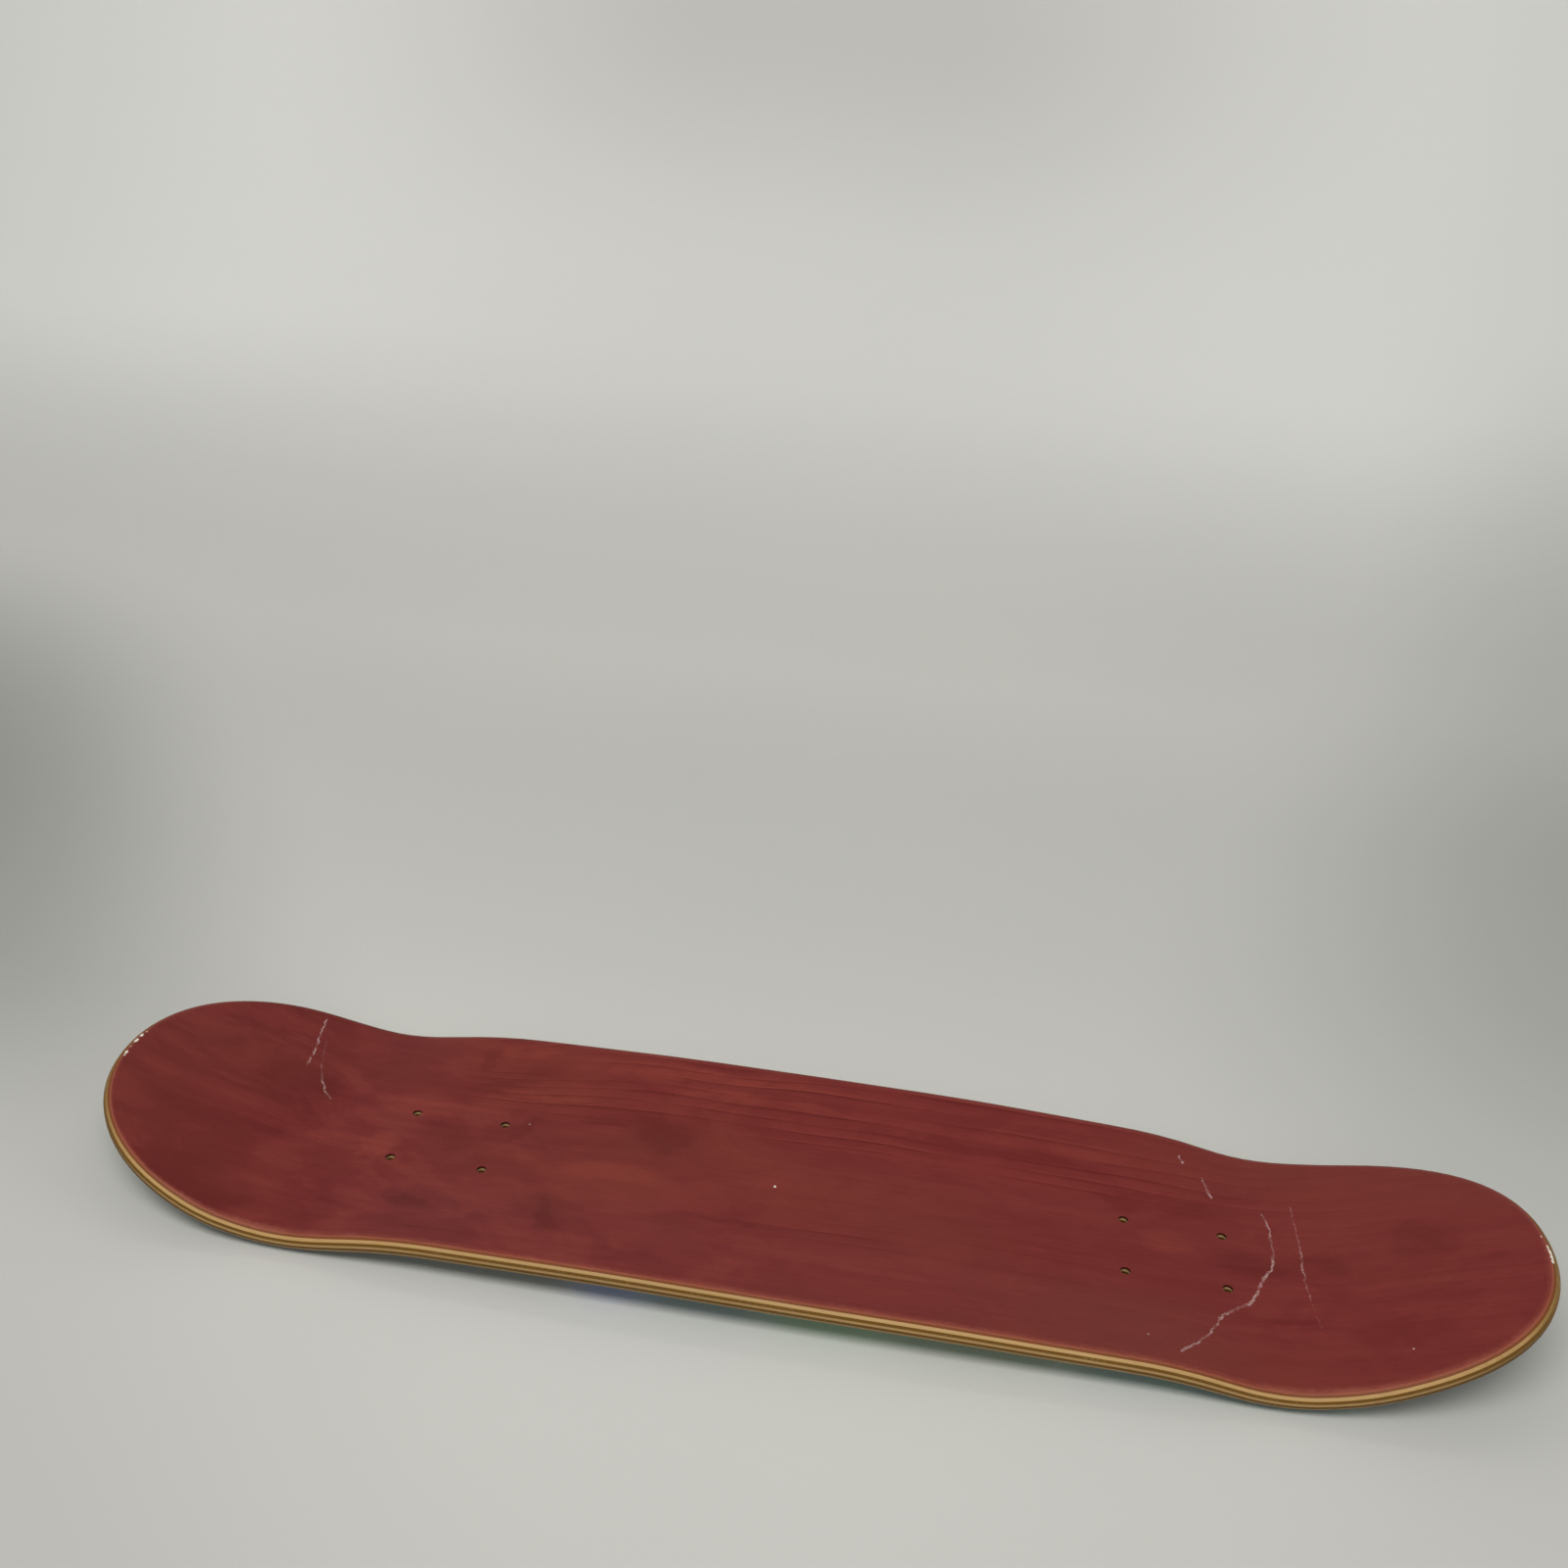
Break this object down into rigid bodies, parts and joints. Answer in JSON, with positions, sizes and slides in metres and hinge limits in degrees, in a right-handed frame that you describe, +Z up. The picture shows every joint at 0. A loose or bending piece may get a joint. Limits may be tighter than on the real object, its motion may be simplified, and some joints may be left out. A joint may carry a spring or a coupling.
{
  "type": "skateboard deck",
  "caption": "Bare popsicle-shaped skateboard deck of laminated maple veneers with upturned nose and tail, concave rails, rounded edges and two rectangular truck bolt patterns.",
  "frame": {"origin": "middle of the deck's length and width, on the surface that it rests on", "axes": "+X from tail to nose, +Y across the deck, +Z up out of the top face"},
  "size_m": [0.7955, 0.1968, 0.0532],
  "materials": {
    "stained_face_veneer": "dark red stain under a satin lacquer",
    "long_grain_veneer": "sanded maple edge, long grain",
    "cross_grain_veneer": "sanded maple edge, end grain, darker",
    "coated_bottom_veneer": "coloured coating with a plain geometric print"
  },
  "bodies": {
    "root": {"ply_1_top_face": "stained_face_veneer", "ply_2_long_grain": "long_grain_veneer", "ply_3_cross_grain": "cross_grain_veneer", "ply_4_core": "long_grain_veneer", "ply_5_cross_grain": "cross_grain_veneer", "ply_6_long_grain": "long_grain_veneer", "ply_7_bottom_face": "coated_bottom_veneer"}
  },
  "joints": []
}
